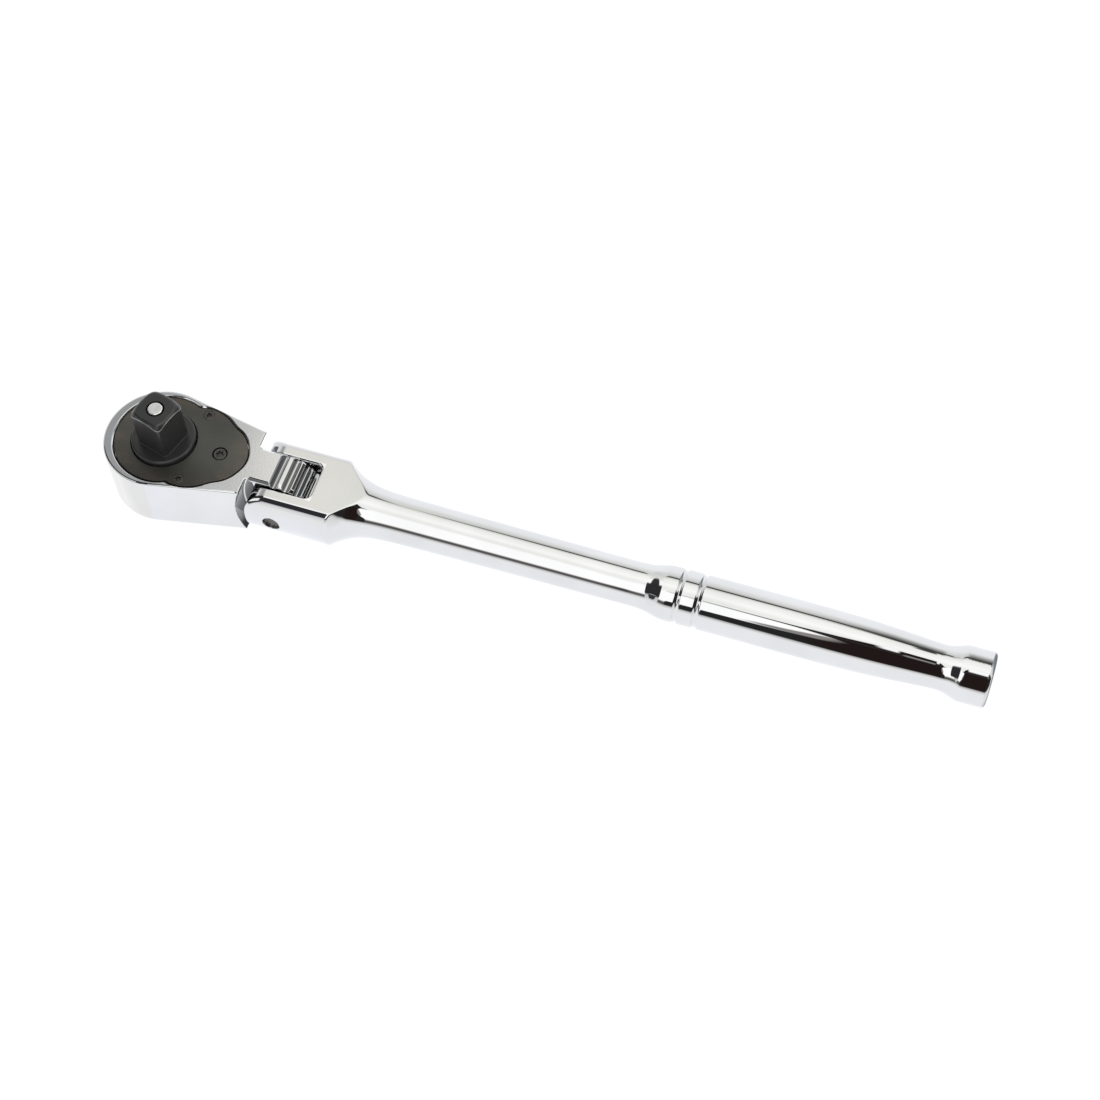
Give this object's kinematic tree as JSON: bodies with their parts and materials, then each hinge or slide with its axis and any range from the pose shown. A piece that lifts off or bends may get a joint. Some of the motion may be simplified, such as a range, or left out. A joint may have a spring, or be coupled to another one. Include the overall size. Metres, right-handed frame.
{
  "type": "ratchet wrench",
  "caption": "Flex-head ratchet wrench: pear-shaped head with a square drive, reversing lever, quick release and a toothed, lockable flex joint on a round polished handle.",
  "frame": {"origin": "drive axis where it crosses the handle's middle plane", "axes": "+X from the drive axis along the handle to the knob, +Z out of the head on the square-drive side, +Y across the head (right-handed)"},
  "size_m": [0.3041, 0.0382, 0.0436],
  "materials": {
    "polished_chrome": "mirror polished",
    "satin_chrome": "satin",
    "black_oxide": "black oxide, satin",
    "steel": "bright machined",
    "spring_steel": "drawn wire",
    "rubber": "matt"
  },
  "bodies": {
    "handle": {"handle": "polished_chrome", "pivot_pin": "black_oxide", "pivot_washers": "steel", "lock_spring": "spring_steel"},
    "head": {"head_housing": "polished_chrome", "cover_plate": "black_oxide", "cover_screws": "black_oxide", "gear_washer": "steel", "gear_ring": "spring_steel", "lever_seal": "rubber", "detent_ball": "steel", "detent_spring": "spring_steel"},
    "drive": {"drive_gear": "black_oxide", "release_spring": "spring_steel"},
    "release": {"release_pin": "satin_chrome", "release_button": "satin_chrome"},
    "retaining_ball": {"socket_ball": "steel"},
    "reverser": {"reverse_lever": "black_oxide", "lever_screw": "black_oxide"},
    "pawl": {"pawl": "steel"},
    "flex_lock": {"lock_block": "steel", "lock_button": "black_oxide"}
  },
  "joints": [
    {"name": "flex", "type": "hinge", "parent": "handle", "child": "head", "pos_m": [0.043, 0, 0], "axis": [0, 1, 0], "range_deg": [-90, 90]},
    {"name": "drive_spin", "type": "hinge", "parent": "head", "child": "drive", "pos_m": [0, 0, 0], "axis": [0, 0, 1], "continuous": true},
    {"name": "release_press", "type": "slide", "parent": "drive", "child": "release", "axis": [0, 0, 1], "range_m": [0, 0.0025], "deforming": ["release_spring"]},
    {"name": "ball_slide", "type": "slide", "parent": "drive", "child": "retaining_ball", "axis": [-0.2807, -0.9598, 0], "range_m": [0, 0.00066]},
    {"name": "lever_turn", "type": "hinge", "parent": "head", "child": "reverser", "pos_m": [0.02026, 0, 0], "axis": [0, 0, 1], "range_deg": [0, 70]},
    {"name": "pawl_rock", "type": "hinge", "parent": "head", "child": "pawl", "pos_m": [0.02026, 0, 0], "axis": [0, 0, 1], "range_deg": [-7.6, 0]},
    {"name": "lock_slide", "type": "slide", "parent": "handle", "child": "flex_lock", "axis": [-1, 0, 0], "range_m": [0, 0.0022]}
  ],
  "couplings": [
    {"joint": "ball_slide", "follows": "release_press", "ratio": 0.26},
    {"joint": "pawl_rock", "follows": "lever_turn", "ratio": -0.1}
  ]
}
